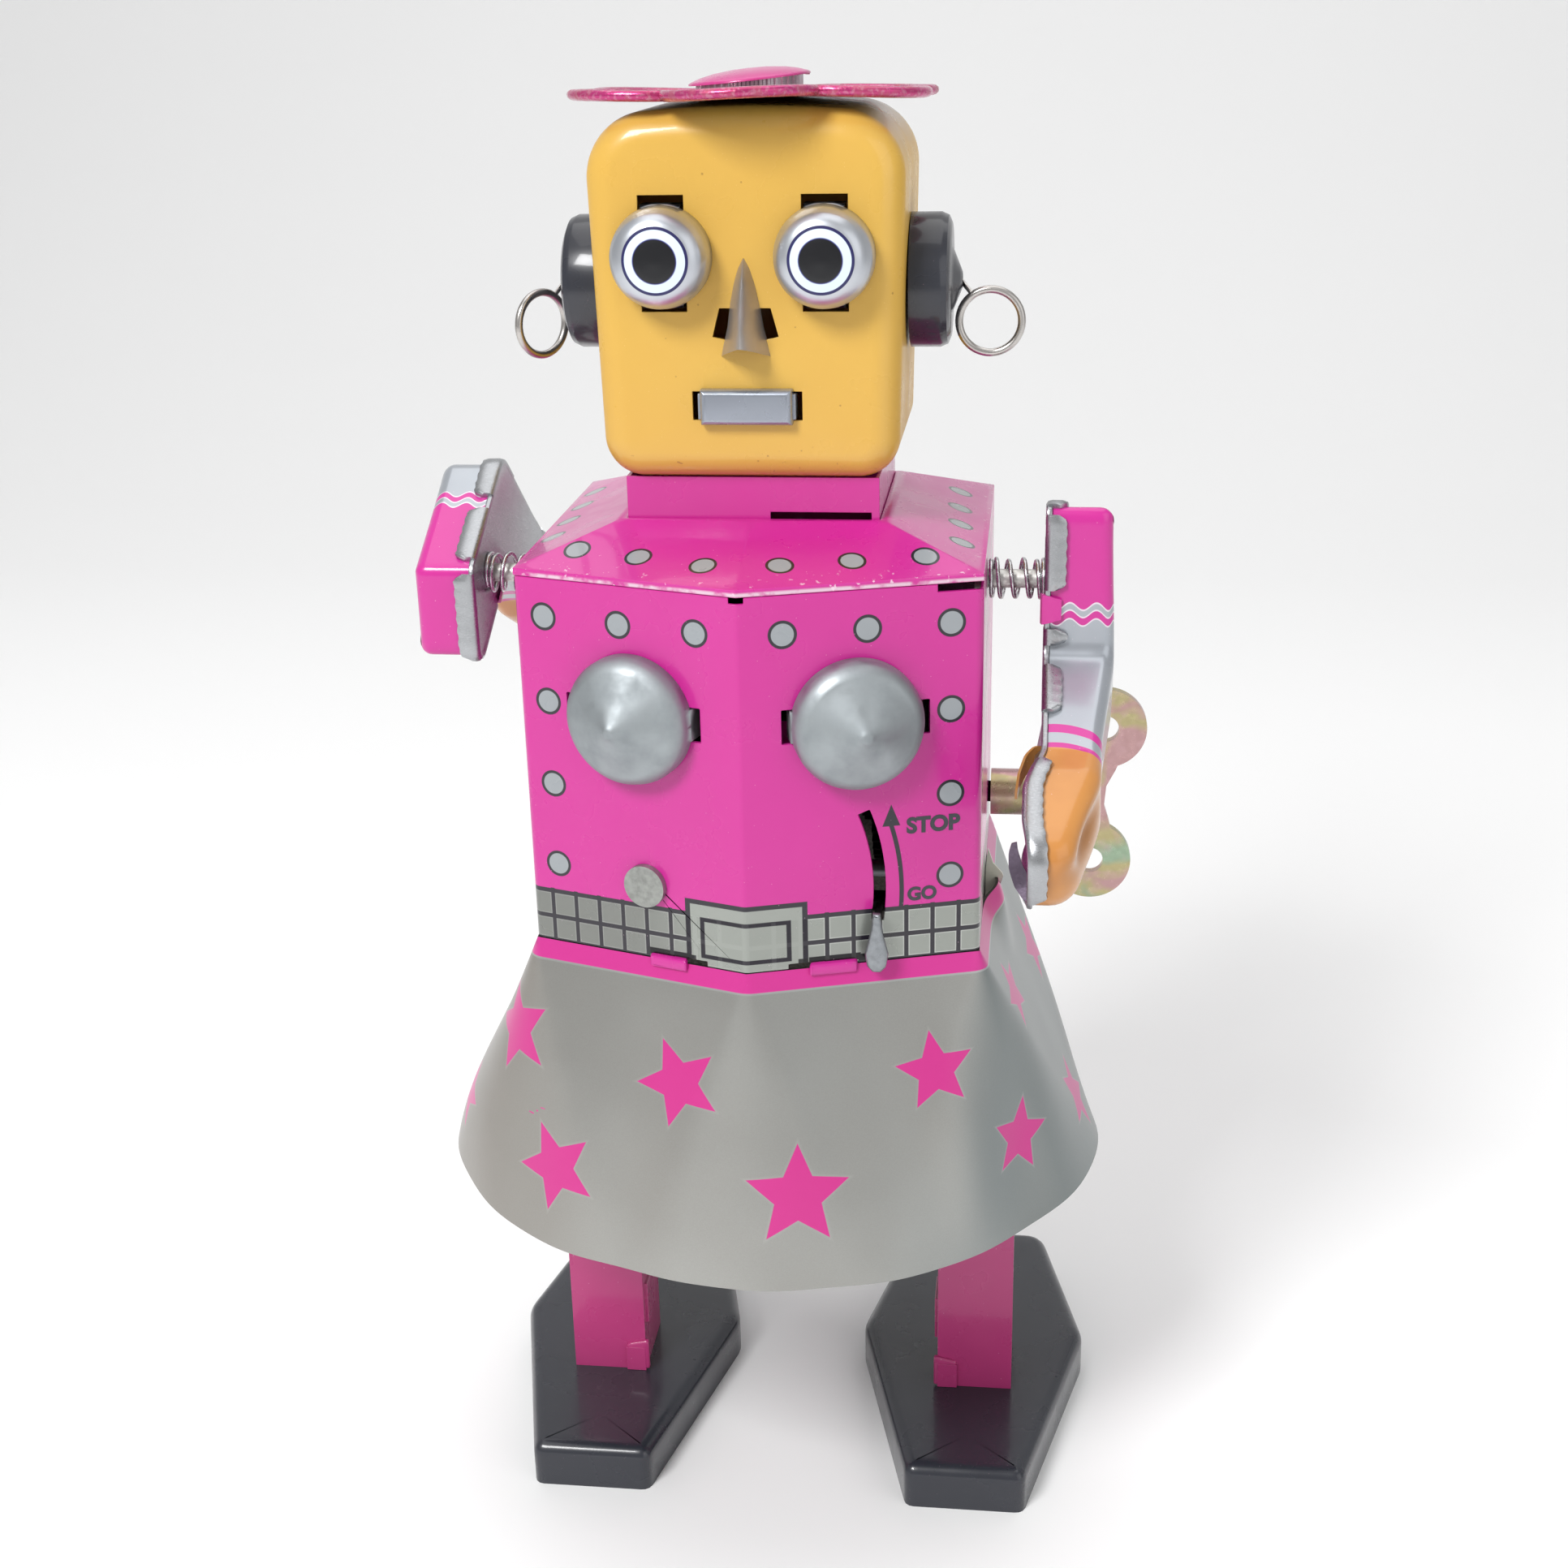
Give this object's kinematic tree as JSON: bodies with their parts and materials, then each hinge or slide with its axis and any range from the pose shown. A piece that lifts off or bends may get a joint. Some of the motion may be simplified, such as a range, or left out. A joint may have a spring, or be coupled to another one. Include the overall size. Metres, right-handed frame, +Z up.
{
  "type": "wind-up toy robot",
  "caption": "Clockwork tin walking robot with a square body, flared skirt, swinging arms, side winding key and a flower-shaped hat.",
  "frame": {"origin": "on the floor plane, at the middle of the footprint box of the whole robot", "axes": "+Z up, the robot faces -Y, and its own left side, with the winding key, is +X"},
  "size_m": [0.0981, 0.0891, 0.2],
  "materials": {
    "pink_tin": "glossy lithographed pink enamel on tin",
    "yellow_tin": "glossy orange-yellow enamel on tin",
    "black_tin": "glossy black enamel on tin",
    "silver_lacquer": "satin silver lacquer on tin",
    "skirt_tin": "satin silver-grey lithographed tin with pink stars",
    "bright_tin": "bare bright tinplate",
    "spun_aluminium": "satin spun metal",
    "polished_steel": "polished",
    "spring_steel": "drawn wire",
    "zinc_steel": "yellow zinc plated, iridescent",
    "gear_brass": "stamped",
    "gear_steel": "turned and oiled"
  },
  "bodies": {
    "torso": {"torso_front_shell": "pink_tin", "torso_back_panel": "pink_tin", "shoulder_cap": "pink_tin", "neck_collar": "pink_tin", "head_face_shell": "yellow_tin", "head_back_shell": "yellow_tin", "nose": "polished_steel", "mouth": "silver_lacquer", "hat_petals": "pink_tin", "hat_collar": "polished_steel", "hat_button": "pink_tin", "lever_rivet": "spun_aluminium", "skirt": "skirt_tin", "motor_pillars": "gear_steel", "mainspring": "spring_steel", "hip_shaft": "gear_steel", "eye_left": "silver_lacquer", "ear_cap_left": "black_tin", "chest_cap_left": "spun_aluminium", "motor_plate_left": "bright_tin", "arm_spring_left": "spring_steel", "eye_right": "silver_lacquer", "ear_cap_right": "black_tin", "chest_cap_right": "spun_aluminium", "motor_plate_right": "bright_tin", "arm_spring_right": "spring_steel"},
    "winder": {"winding_key": "zinc_steel", "winding_arbor": "gear_steel", "ratchet_wheel": "gear_steel"},
    "great_wheel": {"great_wheel": "gear_brass", "click_pawl": "gear_steel"},
    "second_wheel": {"second_wheel": "gear_brass", "second_pinion": "gear_steel"},
    "crank": {"crank_shaft": "gear_steel", "crank_wheel": "gear_brass", "crank_disc_left": "gear_steel", "crank_disc_right": "gear_steel"},
    "escape": {"escape_wheel": "gear_brass", "escape_pinion": "gear_steel"},
    "verge": {"verge": "gear_steel"},
    "stop_lever": {"stop_lever": "bright_tin"},
    "arm_left": {"arm_shell_left": "pink_tin", "arm_plate_left": "bright_tin", "arm_axle_left": "gear_steel"},
    "earring_left": {"earring_left": "polished_steel"},
    "leg_left": {"leg_shell_left": "pink_tin", "leg_hanger_left": "bright_tin", "foot_shell_left": "black_tin", "foot_sole_left": "bright_tin"},
    "roller_left": {"roller_left": "gear_steel"},
    "arm_right": {"arm_shell_right": "pink_tin", "arm_plate_right": "bright_tin", "arm_axle_right": "gear_steel"},
    "earring_right": {"earring_right": "polished_steel"},
    "leg_right": {"leg_shell_right": "pink_tin", "leg_hanger_right": "bright_tin", "foot_shell_right": "black_tin", "foot_sole_right": "bright_tin"},
    "roller_right": {"roller_right": "gear_steel"}
  },
  "joints": [
    {"name": "key_wind", "type": "hinge", "parent": "torso", "child": "winder", "pos_m": [0.0279, 0.0132, 0.101], "axis": [1, 0, 0], "continuous": true},
    {"name": "great_wheel_spin", "type": "hinge", "parent": "torso", "child": "great_wheel", "pos_m": [0.0115, 0.0132, 0.101], "axis": [1, 0, 0], "continuous": true},
    {"name": "second_wheel_spin", "type": "hinge", "parent": "torso", "child": "second_wheel", "pos_m": [0.0059, 0.0012, 0.1065], "axis": [1, 0, 0], "continuous": true},
    {"name": "crank_spin", "type": "hinge", "parent": "torso", "child": "crank", "pos_m": [0.0019, 0.0072, 0.11437], "axis": [1, 0, 0], "continuous": true},
    {"name": "escape_spin", "type": "hinge", "parent": "torso", "child": "escape", "pos_m": [-0.0081, 0.0072, 0.12262], "axis": [1, 0, 0], "continuous": true},
    {"name": "verge_rock", "type": "hinge", "parent": "torso", "child": "verge", "pos_m": [-0.0081, 0.0072, 0.131], "axis": [1, 0, 0], "range_deg": [-8, 8]},
    {"name": "stop_lever_swing", "type": "hinge", "parent": "torso", "child": "stop_lever", "pos_m": [-0.0151, -0.0241, 0.1031], "axis": [0, -1, 0], "range_deg": [0, 26]},
    {"name": "left_arm_swing", "type": "hinge", "parent": "torso", "child": "arm_left", "pos_m": [0.0339, -0.0068, 0.138], "axis": [1, 0, 0], "range_deg": [-225, 45]},
    {"name": "right_arm_swing", "type": "hinge", "parent": "torso", "child": "arm_right", "pos_m": [-0.0381, -0.0068, 0.138], "axis": [1, 0, 0], "continuous": true},
    {"name": "left_earring_swing", "type": "hinge", "parent": "torso", "child": "earring_left", "pos_m": [0.0229, -0.0023, 0.175], "axis": [1, 0, 0], "range_deg": [-80, 80]},
    {"name": "right_earring_swing", "type": "hinge", "parent": "torso", "child": "earring_right", "pos_m": [-0.0271, -0.0023, 0.175], "axis": [1, 0, 0], "range_deg": [-80, 80]},
    {"name": "left_leg_swing", "type": "hinge", "parent": "torso", "child": "leg_left", "pos_m": [0.0219, 0.0072, 0.086], "axis": [1, 0, 0], "range_deg": [-4, 4]},
    {"name": "right_leg_swing", "type": "hinge", "parent": "torso", "child": "leg_right", "pos_m": [-0.0261, 0.0072, 0.086], "axis": [1, 0, 0], "range_deg": [-4, 4]},
    {"name": "left_roller_spin", "type": "hinge", "parent": "leg_left", "child": "roller_left", "pos_m": [0.0256, 0.0222, 0.00275], "axis": [1, 0, 0], "continuous": true},
    {"name": "right_roller_spin", "type": "hinge", "parent": "leg_right", "child": "roller_right", "pos_m": [-0.0298, 0.0222, 0.00275], "axis": [1, 0, 0], "continuous": true}
  ],
  "couplings": [
    {"joint": "second_wheel_spin", "follows": "great_wheel_spin", "ratio": -3},
    {"joint": "crank_spin", "follows": "great_wheel_spin", "ratio": 6},
    {"joint": "escape_spin", "follows": "great_wheel_spin", "ratio": -12},
    {"joint": "right_leg_swing", "follows": "left_leg_swing", "ratio": -1}
  ]
}
